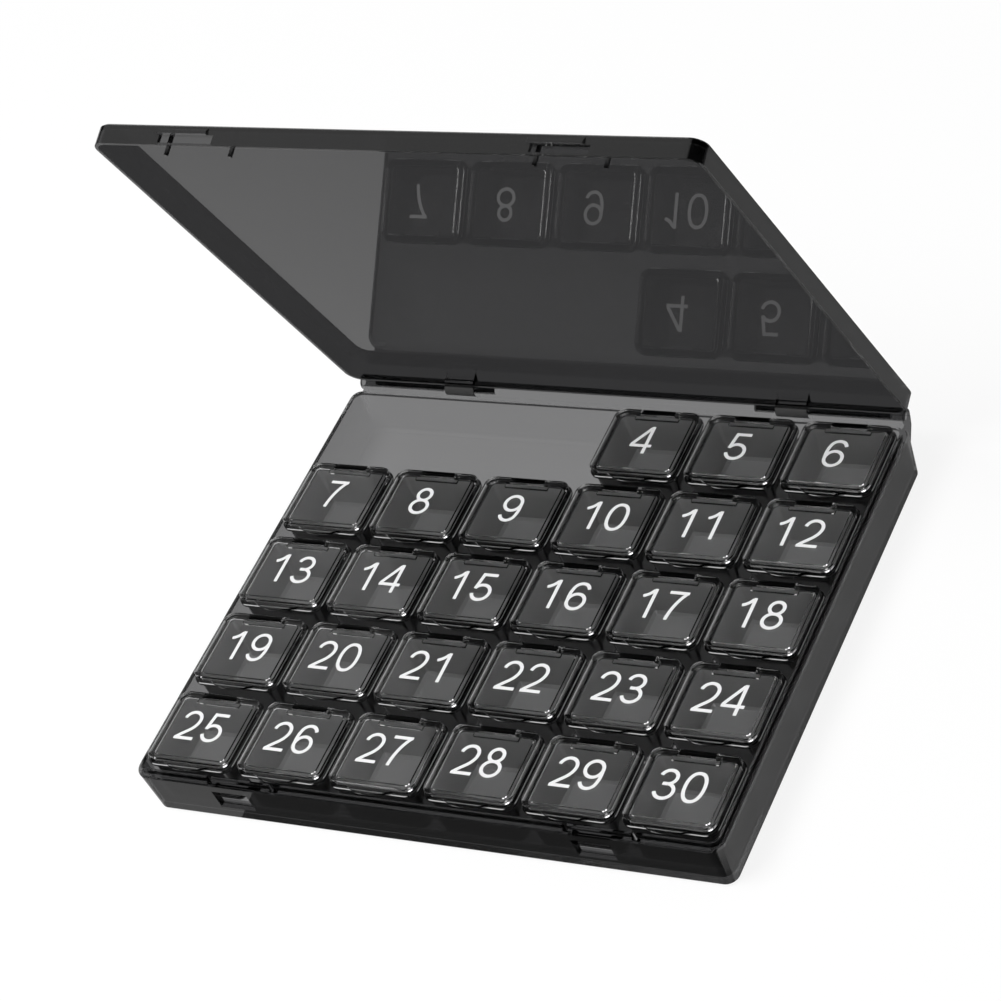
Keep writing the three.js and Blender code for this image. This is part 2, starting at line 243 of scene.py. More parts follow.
def swept_tray(name, width, depth, radius, steps, section):
    """A tray's wall section carried round a rounded rectangle, closed by its floor inside and out."""
    bm = bmesh.new()
    rings = []
    for inset, height in section:
        outline = rounded_outline(width, depth, radius, steps, inset)
        rings.append([bm.verts.new((x, y, height)) for x, y in outline])
    for near, far in zip(rings, rings[1:]):
        wall_between(bm, near, far)
    bm.faces.new(rings[0])
    bm.faces.new(rings[-1])
    return as_mesh(name, bm)


def prism(name, points, x0, x1, soften=0.0):
    """A side profile in y and z, drawn out along x. Its edges can be softened."""
    bm = bmesh.new()
    near = [bm.verts.new((x0, y, z)) for y, z in points]
    far = [bm.verts.new((x1, y, z)) for y, z in points]
    bm.faces.new(near)
    bm.faces.new(far)
    wall_between(bm, near, far)
    if soften:
        bmesh.ops.bevel(
            bm, geom=bm.edges[:], offset=soften, offset_type="OFFSET", segments=2, profile=0.5,
            affect="EDGES", clamp_overlap=True,
        )
    return as_mesh(name, bm)


def block(name, xs, ys, zs, soften=0.0):
    """A box from its limits along x, y and z."""
    corners = [(ys[0], zs[0]), (ys[1], zs[0]), (ys[1], zs[1]), (ys[0], zs[1])]
    return prism(name, corners, xs[0], xs[1], soften)


def rod(name, radius, x0, x1, y, z, sides=32):
    """A rod along x."""
    angles = [2 * math.pi * i / sides for i in range(sides)]
    ring = [(y + radius * math.cos(angle), z + radius * math.sin(angle)) for angle in angles]
    return prism(name, ring, x0, x1)


def link(name, mesh):
    """A piece in the scene with this mesh."""
    piece = bpy.data.objects.new(name, mesh)
    bpy.context.scene.collection.objects.link(piece)
    return piece


def settle(piece):
    """Turns what the modifiers make into the piece's own plain mesh."""
    bpy.context.view_layer.update()
    made = piece.evaluated_get(bpy.context.evaluated_depsgraph_get())
    mesh = bpy.data.meshes.new_from_object(made)
    mesh.name = piece.name
    piece.modifiers.clear()
    piece.data = mesh
    return piece


def combine(piece, mesh, operation):
    """Adds one mesh to a piece, or cuts it away."""
    tool = link("tool", mesh)
    boolean = piece.modifiers.new(operation, "BOOLEAN")
    boolean.operation = operation
    boolean.solver = "EXACT"
    boolean.object = tool
    settle(piece)
    bpy.data.objects.remove(tool)
    return piece


def smooth(piece, hard_from=math.radians(32)):
    """Smooth shading, with hard edges kept hard and broad faces kept flat."""
    bm = bmesh.new()
    bm.from_mesh(piece.data)
    for face in bm.faces:
        face.smooth = True
    for edge in bm.edges:
        edge.smooth = len(edge.link_faces) == 2 and edge.calc_face_angle(0) < hard_from
    bm.to_mesh(piece.data)
    bm.free()
    weighted = piece.modifiers.new("Weighted normals", "WEIGHTED_NORMAL")
    weighted.keep_sharp = True
    weighted.weight = 100
    return settle(piece)


def mark_haze(mesh, haze_at):
    """Writes how much painted light each point gets, as a share of a pale diffuse layer, by a function of
    the point's place.
    """
    mark = mesh.attributes.new("painted_light_mark", "FLOAT", "POINT")
    for i, point in enumerate(mesh.vertices):
        mark.data[i].value = haze_at(*point.co)


def dress(piece, finish):
    """Gives the whole piece one finish."""
    piece.data.materials.clear()
    piece.data.materials.append(finish_named(finish))


# Materials


class Socket:
    """A shader socket that can take part in sums, products and comparisons."""

    def __init__(self, shading, socket):
        self.shading = shading
        self.socket = socket

    def join(self, operation, first, second):
        """The result of one operation on two sockets or numbers."""
        return self.shading.node("ShaderNodeMath", {"operation": operation}, {0: first, 1: second})

    def __add__(self, other):
        return self.join("ADD", self, other)

    def __radd__(self, other):
        return self.join("ADD", other, self)

    def __sub__(self, other):
        return self.join("SUBTRACT", self, other)

    def __rsub__(self, other):
        return self.join("SUBTRACT", other, self)

    def __mul__(self, other):
        return self.join("MULTIPLY", self, other)

    def __gt__(self, other):
        return self.join("GREATER_THAN", self, other)


class Shading:
    """The shader tree of a material or a world under construction."""

    def __init__(self, owner):
        owner.use_nodes = True
        self.owner = owner
        self.tree = owner.node_tree
        self.tree.nodes.clear()

    def node(self, kind, settings=None, values=None, output=0):
        """Makes one node: its type, its settings, then the values or links of its sockets."""
        made = self.tree.nodes.new(kind)
        for name, value in (settings or {}).items():
            setattr(made, name, value)
        for name, value in (values or {}).items():
            if isinstance(value, Socket):
                self.tree.links.new(value.socket, made.inputs[name])
            else:
                made.inputs[name].default_value = value
        return Socket(self, made.outputs[output]) if len(made.outputs) else None

    def place(self, scale):
        """Object coordinates, drawn out by a scale along each axis."""
        where = self.node("ShaderNodeTexCoord", output="Object")
        return self.node("ShaderNodeMapping", None, {"Vector": where, "Scale": scale})

    def along(self, axis):
        """One of the object coordinates: X, Y or Z."""
        where = self.node("ShaderNodeTexCoord", output="Object")
        return self.node("ShaderNodeSeparateXYZ", None, {0: where}, output=axis)

    def noise(self, scale, detail=2.0, stretch=(1, 1, 1)):
        return self.node("ShaderNodeTexNoise", None, {
            "Vector": self.place(stretch), "Scale": scale, "Detail": detail,
        })

    def blend(self, factor, first, second):
        """A colour between two greys or colours."""
        return self.node("ShaderNodeMix", {"data_type": "RGBA"}, {
            "Factor": factor, "A": (*first, 1), "B": (*second, 1),
        }, output="Result")

    def bump(self, height, strength, distance):
        return self.node("ShaderNodeBump", None, {
            "Height": height, "Strength": strength, "Distance": distance,
        })

    def ray(self, kind):
        """1 for rays of this kind and 0 for the others."""
        return self.node("ShaderNodeLightPath", output=f"Is {kind} Ray")

    def softbox(self, azimuth, height, reach, strength):
        """A round soft light in the surroundings, strongest in its middle."""
        a, h = math.radians(azimuth), math.radians(height)
        towards = (math.cos(a) * math.cos(h), math.sin(a) * math.cos(h), math.sin(h))
        looking = self.node("ShaderNodeTexCoord", output="Generated")
        facing = self.node(
            "ShaderNodeVectorMath", {"operation": "DOT_PRODUCT"}, {0: looking, 1: towards}, output="Value")
        return self.node("ShaderNodeMapRange", {"interpolation_type": "SMOOTHSTEP"}, {
            "Value": facing, "From Min": math.cos(math.radians(reach)), "From Max": 1.0, "To Max": strength,
        })

    def close(self, shader):
        """Joins the shader to the output of the material or world."""
        of_world = isinstance(self.owner, bpy.types.World)
        kind = "ShaderNodeOutputWorld" if of_world else "ShaderNodeOutputMaterial"
        self.node(kind, None, {"Surface": shader})
        return self.owner


# How much a plastic's tint varies along its flow marks
FLOW_SHARE = 0.03


def smoke_plastic(name, tint, ior, gloss, wear=0.5, waviness=0.04, split=None, haze=None):
    """Translucent moulded plastic: tint with faint flow marks, fine scratches in the gloss, a wavy skin.

    A split is a list of limits and another tint. Each limit is an axis, a sign and a length. The first
    tint holds past all the limits and the other tint short of them. Painted light on marked faces is
    a share and a grey: a pale diffuse layer that the lamps light paler than the clear plastic.
    """
    finish = Shading(bpy.data.materials.new(name))
    flow = finish.noise(60.0, stretch=(1.0, 0.35, 1.0))
    if split:
        limits, other = split
        within = 1 - FLOW_SHARE + flow * FLOW_SHARE
        for axis, sign, limit in limits:
            within = (finish.along(axis) * sign > limit) * within
        color = finish.blend(within, other, tint)
    else:
        deep, pale = 1 - FLOW_SHARE, 1 + FLOW_SHARE
        color = finish.blend(flow, (c * deep for c in tint), (min(c * pale, 1.0) for c in tint))
    streaks = finish.noise(900.0, detail=3.0, stretch=(1.0, 0.06, 1.0))
    smudge = finish.noise(95.0, detail=3.0)
    # Scratches show where the streaks are strongest
    rough = smudge * (0.04 * wear) + (streaks > 0.66) * (0.05 * wear) + gloss
    skin = finish.bump(finish.noise(140.0, detail=1.0), waviness, distance=0.4 * MM)
    shader = finish.node("ShaderNodeBsdfPrincipled", None, {
        "Base Color": color, "Roughness": rough, "Normal": skin, "IOR": ior, "Transmission Weight": 1.0,
    })
    # Painted light: marked faces get a pale diffuse layer, lit paler than the clear plastic
    if haze:
        share, grey = haze
        painted_light_mark = finish.node("ShaderNodeAttribute", {"attribute_name": "painted_light_mark"}, output="Fac")
        painted_layer = finish.node("ShaderNodeBsdfDiffuse", None, {"Color": (*grey, 1)})
        shader = finish.node("ShaderNodeMixShader", None, {0: painted_light_mark * share, 1: shader, 2: painted_layer})
    return finish.close(shader)


def printed_ink(name, tint):
    """White screen ink: a touch uneven, with a fine grain."""
    finish = Shading(bpy.data.materials.new(name))
    cover = finish.noise(420.0, detail=3.0)
    grain = finish.noise(3500.0)
    color = finish.blend(cover, (c * 0.96 for c in tint), tint)
    shader = finish.node("ShaderNodeBsdfPrincipled", None, {
        "Base Color": color, "Roughness": 0.42 + cover * 0.16,
        "Normal": finish.bump(grain, strength=0.08, distance=0.05 * MM), "IOR": 1.45,
    })
    return finish.close(shader)


def drawn_steel(name, tint):
    """Drawn wire: bright metal with fine lines round it."""
    finish = Shading(bpy.data.materials.new(name))
    lines = finish.noise(2600.0, detail=3.0, stretch=(1.0, 0.08, 0.08))
    color = finish.blend(lines, (c * 0.85 for c in tint), tint)
    shader = finish.node("ShaderNodeBsdfPrincipled", None, {
        "Base Color": color, "Roughness": 0.22 + lines * 0.2, "Metallic": 1.0,
        "Normal": finish.bump(lines, strength=0.15, distance=0.03 * MM),
    })
    return finish.close(shader)


# Share of white in the floor that the camera sees
CAMERA_WHITE = 0.88
# Gloss sees white up to this place along x, then grey: painted shade where the object's shadow would lie
GLOSS_SHADE_EDGE, GLOSS_SHADE_GREY = -0.06, (0.2, 0.2, 0.2)


def pale_floor(name, tint):
    """Pale floor that camera and clear plastic see as white, with the object's shadow kept.

    Gloss sees the floor white on the left and grey on the right, as painted shade for the object's shadow.
    """
    finish = Shading(bpy.data.materials.new(name))
    shadowed = finish.node("ShaderNodeBsdfDiffuse", None, {"Color": (*tint, 1)})
    bright = finish.node("ShaderNodeEmission", None, {"Color": (1, 1, 1, 1), "Strength": 1.0})
    through = finish.ray("Transmission")
    mirrored = finish.ray("Glossy") > through
    # Painted shade: grey in what gloss sees of the floor on the right
    gloss_shade = finish.blend(finish.along("X") > GLOSS_SHADE_EDGE, (1, 1, 1), GLOSS_SHADE_GREY)
    reflected = finish.node("ShaderNodeEmission", None, {"Color": gloss_shade, "Strength": 1.0})
    glow = finish.node("ShaderNodeMixShader", None, {0: mirrored, 1: bright, 2: reflected})
    share = finish.ray("Camera") * CAMERA_WHITE + mirrored + through
    clipped = finish.node("ShaderNodeMath", {"operation": "MINIMUM"}, {0: share, 1: 1.0})
    shader = finish.node("ShaderNodeMixShader", None, {0: clipped, 1: shadowed, 2: glow})
    return finish.close(shader)


# Strength of the surroundings between the soft lights, in gloss and through clear plastic
GLOSS_BASE, PLASTIC_BASE = 0.02, 0.05
# Soft lights in the surroundings, as azimuth, height, reach and strength
IN_GLOSS = ((110, 40, 80, 0.1),)
THROUGH_PLASTIC = ((315, 42, 62, 2.3), (150, 20, 45, 0.4), (90, 20, 42, 0.8))


def white_surroundings(world, fill):
    """White to the camera, soft lights where gloss or clear plastic looks, and a soft fill for the rest."""
    sky = Shading(world)
    camera, glossy, through = (sky.ray(kind) for kind in ("Camera", "Glossy", "Transmission"))
    in_gloss, in_plastic = GLOSS_BASE, PLASTIC_BASE
    for light in IN_GLOSS:
        in_gloss = sky.softbox(*light) + in_gloss
    for light in THROUGH_PLASTIC:
        in_plastic = sky.softbox(*light) + in_plastic
    rest = 1.0 - camera - glossy - through
    strength = camera + (glossy > through) * in_gloss + through * in_plastic + (rest > 0) * fill
    shader = sky.node("ShaderNodeBackground", None, {"Color": (1, 1, 1, 1), "Strength": strength})
    sky.close(shader)


# Placing in the grid of days


def day_place_tree():
    """Geometry nodes that carry one piece to a day's place in the grid."""
    tree = bpy.data.node_groups.new("Day place", "GeometryNodeTree")
    face = tree.interface
    face.new_socket("Geometry", in_out="INPUT", socket_type="NodeSocketGeometry")
    for name, kind in (
        ("Day", "NodeSocketInt"), ("Columns", "NodeSocketInt"), ("Rows", "NodeSocketInt"),
        ("Column Pitch", "NodeSocketFloat"), ("Row Pitch", "NodeSocketFloat"),
        ("First Place", "NodeSocketVector"), ("Finish", "NodeSocketMaterial"),
    ):
        face.new_socket(name, in_out="INPUT", socket_type=kind)
    face.new_socket("Geometry", in_out="OUTPUT", socket_type="NodeSocketGeometry")
    nodes, links = tree.nodes, tree.links
    given = nodes.new("NodeGroupInput")
    result = nodes.new("NodeGroupOutput")

    def maths(operation, a, b):
        made = nodes.new("ShaderNodeMath")
        made.operation = operation
        for socket, value in zip(made.inputs, (a, b)):
            if isinstance(value, (int, float)):
                socket.default_value = value
            else:
                links.new(value, socket)
        return made.outputs[0]

    zero_based = maths("SUBTRACT", given.outputs["Day"], 1)
    columns = given.outputs["Columns"]
    column = maths("MODULO", zero_based, columns)
    from_back = maths("FLOOR", maths("DIVIDE", zero_based, columns), 0)
    row = maths("SUBTRACT", maths("SUBTRACT", given.outputs["Rows"], 1), from_back)
    step = nodes.new("ShaderNodeCombineXYZ")
    links.new(maths("MULTIPLY", column, given.outputs["Column Pitch"]), step.inputs["X"])
    links.new(maths("MULTIPLY", row, given.outputs["Row Pitch"]), step.inputs["Y"])
    place = nodes.new("ShaderNodeVectorMath")
    links.new(step.outputs[0], place.inputs[0])
    links.new(given.outputs["First Place"], place.inputs[1])
    point = nodes.new("GeometryNodePoints")
    links.new(place.outputs[0], point.inputs["Position"])
    instance = nodes.new("GeometryNodeInstanceOnPoints")
    links.new(point.outputs[0], instance.inputs["Points"])
    links.new(given.outputs["Geometry"], instance.inputs["Instance"])
    realize = nodes.new("GeometryNodeRealizeInstances")
    links.new(instance.outputs[0], realize.inputs[0])
    material = nodes.new("GeometryNodeSetMaterial")
    links.new(realize.outputs[0], material.inputs["Geometry"])
    links.new(given.outputs["Finish"], material.inputs["Material"])
    links.new(material.outputs[0], result.inputs[0])
    return tree


def socket_of(tree, name):
    """The identifier of a tree's named input."""
    for item in tree.interface.items_tree:
        if item.item_type == "SOCKET" and item.in_out == "INPUT" and item.name == name:
            return item.identifier
    raise KeyError(name)


def carry_to_day(name, mesh, day, material):
    """A copy of the mesh at one day's place, as a plain piece."""
    tree = bpy.data.node_groups.get("Day place") or day_place_tree()
    piece = link(name, mesh)
    carry = piece.modifiers.new("Day place", "NODES")
    carry.node_group = tree
    first, right, behind = (box_middle(node) for node in ("box_25", "box_26", "box_19"))
    inputs = {
        "Day": day, "Columns": COLUMNS, "Rows": ROWS, "Column Pitch": right.x - first.x,
        "Row Pitch": behind.y - first.y, "First Place": (first.x, first.y, first.z),
        "Finish": material,
    }
    for key, value in inputs.items():
        carry[socket_of(tree, key)] = value
    settle(piece)
    piece.data.name = name
    return piece


def box_middle(node):
    """The middle of a small box's underside."""
    low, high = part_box(node)
    return Vector(((low.x + high.x) / 2, low.y + bpy.context.scene.pill_box.depth / 2, low.z))


# How far the painted shade, a darker tint on the front wall and the right wall, reaches in from the outside
FRONT_SHADE_REACH, RIGHT_SHADE_REACH = 6 * MM, 3 * MM


def finish_named(name):
    """One of the finishes, made the first time that it is asked for."""
    found = bpy.data.materials.get(name)
    if found:
        return found
    look = bpy.context.scene.pill_finish
    grey = tuple(look.haze_grey)
    if name == "Case plastic":
        low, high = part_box("case_base")
        # Painted shade: the front and right walls get the darker tint
        limits = (("Y", 1.0, low.y + FRONT_SHADE_REACH), ("X", -1.0, RIGHT_SHADE_REACH - high.x))
        return smoke_plastic(
            name, tuple(look.case_tint), look.case_ior, gloss=0.03,
            split=(limits, tuple(look.front_tint)), haze=(look.case_haze, grey))
    if name == "Lid plastic":
        return smoke_plastic(
            name, tuple(look.panel_tint), look.case_ior, gloss=0.0, wear=0.12, waviness=0.0,
            haze=(look.case_haze, grey))
    if name == "Box plastic":
        # The thin floor's tint ends just above the floor's inner face
        cup_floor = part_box("box_25")[0].z + bpy.context.scene.pill_box.floor + 0.2 * MM
        # Painted shade, in part: the walls above the floor take the near-black tint
        return smoke_plastic(
            name, tuple(look.box_tint), look.box_ior, gloss=0.02,
            split=((("Z", 1.0, cup_floor),), tuple(look.box_floor)), haze=(look.box_haze, grey))
    if name == "Flip lid plastic":
        return smoke_plastic(
            name, tuple(look.flip_tint), look.box_ior, gloss=0.01, wear=0.3, waviness=0.02)
    if name == "White ink":
        return printed_ink(name, tuple(look.ink))
    if name == "Drawn steel":
        return drawn_steel(name, tuple(look.steel))
    return pale_floor(name, tuple(bpy.context.scene.pill_stage.floor))


# Digits, drawn as strokes


def arc(cx, cy, rx, ry, start, end, steps=18, power=2.0):
    """Points on an oval arc between two angles in degrees. A power above 2 squares it a little."""
    points = []
    for step in range(steps + 1):
        angle = math.radians(start + (end - start) * step / steps)
        c, s = math.cos(angle), math.sin(angle)
        points.append((
            cx + rx * math.copysign(abs(c) ** (2 / power), c),
            cy + ry * math.copysign(abs(s) ** (2 / power), s),
        ))
    return points


def bend(a, b, c, steps=10):
    """Points on a curve from a to c that leans towards b."""
    a, b, c = Vector(a), Vector(b), Vector(c)
    return [tuple(a.lerp(b, t / steps).lerp(b.lerp(c, t / steps), t / steps)) for t in range(steps + 1)]


DIGIT_STROKES = {
    "0": [arc(0.32, 0.5, 0.265, 0.445, 0, 360, 40, 2.25)],
    "1": [[(0.41, 0.0), (0.41, 1.0)], bend((0.375, 0.95), (0.28, 0.79), (0.1, 0.73))],
    "2": [arc(0.325, 0.69, 0.245, 0.25, 172, 0, 20) + bend((0.57, 0.66), (0.54, 0.46), (0.34, 0.30))[1:]
          + bend((0.34, 0.30), (0.14, 0.14), (0.07, 0.06))[1:],
          [(0.025, 0.056), (0.62, 0.056)]],
    "3": [arc(0.31, 0.725, 0.225, 0.215, 168, -78, 24),
          [(0.20, 0.515), (0.355, 0.515)],
          arc(0.32, 0.29, 0.255, 0.235, 78, -168, 26)],
    "4": [[(0.485, 0.0), (0.485, 1.0)], [(0.455, 0.955), (0.045, 0.33)], [(0.0, 0.29), (0.655, 0.29)]],
    "5": [[(0.60, 0.935), (0.155, 0.935)], [(0.19, 0.985), (0.10, 0.43)],
          arc(0.32, 0.315, 0.26, 0.26, 148, -168, 34)],
    "6": [arc(0.335, 0.315, 0.25, 0.26, 0, 360, 34),
          bend((0.085, 0.36), (0.06, 0.60), (0.12, 0.76)) + arc(0.345, 0.70, 0.235, 0.24, 165, 14, 16)],
    "7": [[(0.04, 0.93), (0.61, 0.93)], bend((0.575, 0.95), (0.28, 0.60), (0.235, 0.0), 14)],
    "8": [arc(0.32, 0.735, 0.2, 0.205, 0, 360, 30), arc(0.32, 0.295, 0.255, 0.24, 0, 360, 34)],
    "9": [arc(0.305, 0.685, 0.25, 0.26, 0, 360, 34),
          bend((0.555, 0.64), (0.58, 0.40), (0.52, 0.24)) + arc(0.295, 0.30, 0.235, 0.24, -15, -166, 16)],
}
# Shares of a digit's height: the stroke's width, the step to the next digit, and the shift right
STROKE_SHARE = 0.1
ADVANCE_SHARE = 0.777
SHIFT_SHARE = 0.015


def stroke_mesh(points, height, thickness):
    """One stroke of a digit as a thin solid of even width."""
    line = [Vector((x * height, y * height)) for x, y in points]
    # A long stroke whose ends meet is a loop and has no end faces
    closed = (line[0] - line[-1]).length < 0.02 * height and len(line) > 4
    if closed:
        line = line[:-1]
    half = STROKE_SHARE * height / 2
    bm = bmesh.new()
    rings = []
    for i, point in enumerate(line):
        before = line[i - 1] if i or closed else point
        after = line[(i + 1) % len(line)] if i + 1 < len(line) or closed else point
        along = (after - before).normalized()
        side = Vector((-along.y, along.x)) * half
        left, right = point + side, point - side
        rings.append([
            bm.verts.new((left.x, left.y, 0)), bm.verts.new((right.x, right.y, 0)),
            bm.verts.new((right.x, right.y, thickness)), bm.verts.new((left.x, left.y, thickness)),
        ])
    pairs = list(zip(rings, rings[1:])) + ([(rings[-1], rings[0])] if closed else [])
    for near, far in pairs:
        wall_between(bm, near, far)
    if not closed:
        bm.faces.new(rings[0])
        bm.faces.new(rings[-1])
    return as_mesh("stroke", bm)


def digit_mesh(digit, height, thickness):
    """One digit, with its strokes joined into one solid."""
    first, *rest = DIGIT_STROKES[digit]
    piece = link("digit", stroke_mesh(first, height, thickness))
    for points in rest:
        combine(piece, stroke_mesh(points, height, thickness), "UNION")
    mesh = piece.data
    bpy.data.objects.remove(piece)
    return mesh


# The case

# Places along x of the lid's legs and of the notches that they drop into
LEG_PLACES = (-63.2 * MM, -43.7 * MM, 43.7 * MM, 63.2 * MM)
# Painted light on the base: a painted highlight in the fillet round its floor, and a paler left shoulder
# and right wall
FILLET_PAINTED_HIGHLIGHT, SIDE_PAINTED_LIGHT = 1.5, 3.0
# Painted light on the case lid: how pale its outer walls and rim, its right wall and its knuckles are made
LID_WALL_PAINTED_LIGHT, RIGHT_WALL_PAINTED_LIGHT, KNUCKLE_PAINTED_LIGHT = 1.0, 2.6, 2.5


def case_extent():
    """Width and depth of the case, from the frame."""
    low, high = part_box("case_base")
    return high.x - low.x, -2 * low.y


def lid_frame(sizes):
    """The hinge's place, and the turn from the closed lid to the open one."""
    back = case_extent()[1] / 2
    hinge = Vector((0, back + sizes.hinge_setback, sizes.shoulder + sizes.hinge_rise))
    return hinge, Matrix.Translation(hinge) @ Matrix.Rotation(-sizes.open_angle, 4, "X")


class OBJECT_OT_pill_case_base(bpy.types.Operator):
    """Makes the case's base with its shoulder, lip, catches, finger slots and hinge barrel"""

    bl_idname = "pill.case_base"
    bl_label = "Case base"

    def execute(self, context):
        s = context.scene.pill_case
        width, depth = case_extent()
        lip_top = s.shoulder + s.lip
        section = rounded_section([
            (s.draft + s.foot, 0), (s.draft, s.foot), (0, s.shoulder - 0.4 * MM),
            (0.4 * MM, s.shoulder), (s.shoulder_width, s.shoulder),
            (s.shoulder_width, lip_top), (s.wall, lip_top),
            (s.wall + 0.4 * MM, s.floor + 1.0 * MM), (s.wall + 1.4 * MM, s.floor),
        ], s.round)
        mesh = swept_tray("case_base_shell", width, depth, s.corner, s.corner_steps, section)
        piece = link("case_base_shell", mesh)
        front, back = -depth / 2, depth / 2
        cut = 0.5 * MM
        catch_bottom = s.shoulder + s.rim_gap + 0.8 * MM
        catch_top = catch_bottom + 0.9 * MM
        catch_front = front + s.lid_wall - 0.35 * MM
        catch_root = catch_front + 1.05 * MM
        catch = [
            (catch_front, catch_bottom), (catch_root, catch_bottom - cut), (catch_root, catch_top),
            (catch_front + 0.4 * MM, catch_top), (catch_front, catch_bottom + 0.5 * MM),
        ]
        for x in (s.latch_left, s.latch_right):
            combine(piece, prism("catch", catch, x - 4 * MM, x + 4 * MM, 0.04 * MM), "UNION")
            combine(piece, block(
                "slot", (x - 5.5 * MM, x + 5.5 * MM), (front - cut, front + s.wall + cut * 2),
                (5 * MM, 12 * MM)), "DIFFERENCE")
        for x in LEG_PLACES:
            combine(piece, block(
                "notch", (x - 0.75 * MM, x + 0.75 * MM), (front + 0.8 * MM, front + s.wall + cut * 2),
                (12.4 * MM, lip_top + cut)), "DIFFERENCE")
        y, z = back + s.hinge_setback, s.shoulder + s.hinge_rise
        gusset_root, gusset_top = back - s.draft - cut / 2, s.shoulder - 0.4 * MM
        hollow = s.knuckle + s.rim_gap
        gusset = [
            (gusset_root, gusset_top), (gusset_root, gusset_top - 8 * MM),
            (y + 0.95 * MM, z - hollow - 1.4 * MM), (y + 1.9 * MM, gusset_top),
        ]
        space = s.knuckle_half + s.rim_gap
        end = width / 2 - s.barrel_inset
        combine(piece, rod("barrel", s.knuckle, -end, end, y, z), "UNION")
        combine(piece, prism("gusset", gusset, -end, end), "UNION")
        # The hollow is a touch wide, so that its flat sides stay clear of the knuckle
        for place in (-s.hinge_spacing, s.hinge_spacing):
            combine(piece, rod("hollow", hollow * 1.03, place - space, place + space, y, z), "DIFFERENCE")
        blind = s.hinge_spacing - space - s.pin_grip - s.rim_gap
        for x0, x1 in ((-end - cut, -blind), (blind, end + cut)):
            combine(piece, rod("bore", s.bore, x0, x1, y, z), "DIFFERENCE")
        smooth(piece)

        # Painted highlight in the floor's fillet, and painted light on the left shoulder and the right wall
        def haze_at(x, y, z):
            fillet = s.floor - 0.1 * MM < z < s.floor + 1.1 * MM and abs(x) < width / 2 - s.wall
            left_shoulder = x < 2 * MM - width / 2 and z > s.shoulder - 0.6 * MM
            right_wall = x > width / 2 - s.draft - 0.7 * MM and z < s.shoulder
            return FILLET_PAINTED_HIGHLIGHT * fillet + SIDE_PAINTED_LIGHT * (left_shoulder or right_wall)

        mark_haze(piece.data, haze_at)
        dress(piece, "Case plastic")
        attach(piece, "case")
        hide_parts("case_base")
        for node in ("hinge_pin_left", "hinge_pin_right"):
            dress(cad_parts[node], "Drawn steel")
        return {"FINISHED"}


class OBJECT_OT_pill_case_lid(bpy.types.Operator):
    """Makes the open case lid with its panel, latch windows, ledges, legs and hinge arms"""

    bl_idname = "pill.case_lid"
    bl_label = "Case lid"

    def execute(self, context):
        s = context.scene.pill_case
        width, depth = case_extent()
        hinge, turn = lid_frame(s)
        rim = s.shoulder + s.rim_gap - hinge.z
        top = rim + s.lid_depth
        ceiling = top - s.panel
        middle = -hinge.y
        front, back = -depth / 2 - hinge.y, depth / 2 - hinge.y
        cut = 0.5 * MM
        section = rounded_section([
            (0.6 * MM, top), (0, top - 0.6 * MM), (0, rim), (s.lid_wall, rim),
            (s.lid_wall + 0.15 * MM, ceiling), (s.lid_wall + 2 * MM, ceiling),
        ], s.round)
        mesh = swept_tray("case_lid_shell", width, depth, s.corner, s.corner_steps, section)
        mesh.transform(Matrix.Translation((0, middle, 0)))
        piece = link("case_lid_shell", mesh)
        inner_face = front + s.lid_wall
        window_top = rim + 2.9 * MM
        ledge_front, ledge_top = front - 0.9 * MM, window_top + 2 * MM
        ledge = [
            (front + cut, window_top), (ledge_front, window_top), (ledge_front, window_top + 0.8 * MM),
            (front, ledge_top), (front + cut, ledge_top),
        ]
        # Each ledge sits a little to the left over its window
        for x in (s.latch_left, s.latch_right):
            at = x - 1.4 * MM
            combine(piece, prism("ledge", ledge, at - 7.75 * MM, at + 7.75 * MM, 0.08 * MM), "UNION")
            combine(piece, block(
                "window", (x - 8.2 * MM, x + 8.2 * MM), (front - cut, inner_face + cut * 1.3),
                (rim + 0.5 * MM, window_top)), "DIFFERENCE")
        for x in LEG_PLACES:
            combine(piece, block(
                "leg", (x - 0.45 * MM, x + 0.45 * MM), (inner_face - cut / 2, inner_face + 0.65 * MM),
                (rim - 2.4 * MM, ceiling + cut), 0.08 * MM), "UNION")
        # An arm's flat foot, and its top at the knuckle and at the lid's back wall
        arm_foot, arm_end, arm_root = 0.2 * MM, s.knuckle * 0.966, 4.2 * MM
        arm = [(back - cut, arm_foot), (0, arm_foot), (0, arm_end), (back - cut, arm_root)]
        for place in (-s.hinge_spacing, s.hinge_spacing):
            x0, x1 = place - s.knuckle_half, place + s.knuckle_half
            combine(piece, rod("knuckle", s.knuckle, x0, x1, 0, 0), "UNION")
            combine(piece, prism("arm", arm, x0, x1), "UNION")
            combine(piece, rod("bore", s.bore, x0 - cut, x1 + cut, 0, 0), "DIFFERENCE")
        smooth(piece)

        # Painted light on the lid's knuckles, outer walls and rim, strongest on the right wall
        def haze_at(x, y, z):
            if y > back + 0.5 * MM:
                return KNUCKLE_PAINTED_LIGHT
            inset = min(width / 2 - abs(x), y - front, back - y)
            wall = abs(x) > width / 2 - 0.2 * MM or y < front + 0.2 * MM
            rim_face = abs(z - rim) < 0.05 * MM and inset < s.lid_wall + 0.02 * MM
            if not (wall or rim_face) or z >= top - 0.4 * MM:
                return 0.0
            return RIGHT_WALL_PAINTED_LIGHT if x > width / 2 - 0.2 * MM else LID_WALL_PAINTED_LIGHT

        mark_haze(piece.data, haze_at)
        piece.data.transform(turn)
        dress(piece, "Lid plastic")
        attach(piece, "case_lid")
        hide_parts("case_lid")
        return {"FINISHED"}


# The small boxes

# Painted light on a small box: paler inside, and a painted highlight round its flange and on the flange's
# left edge
CUP_PAINTED_LIGHT, FLANGE_PAINTED_HIGHLIGHT, LEFT_FLANGE_PAINTED_HIGHLIGHT = 1.0, 1.4, 0.6


def box_height(s):
    """Height of a small box from its underside to its flange."""
    underside, lid_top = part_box("box_25")[0].z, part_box("box_25_lid")[1].z
    return lid_top - s.lid_height - s.lid_gap - underside


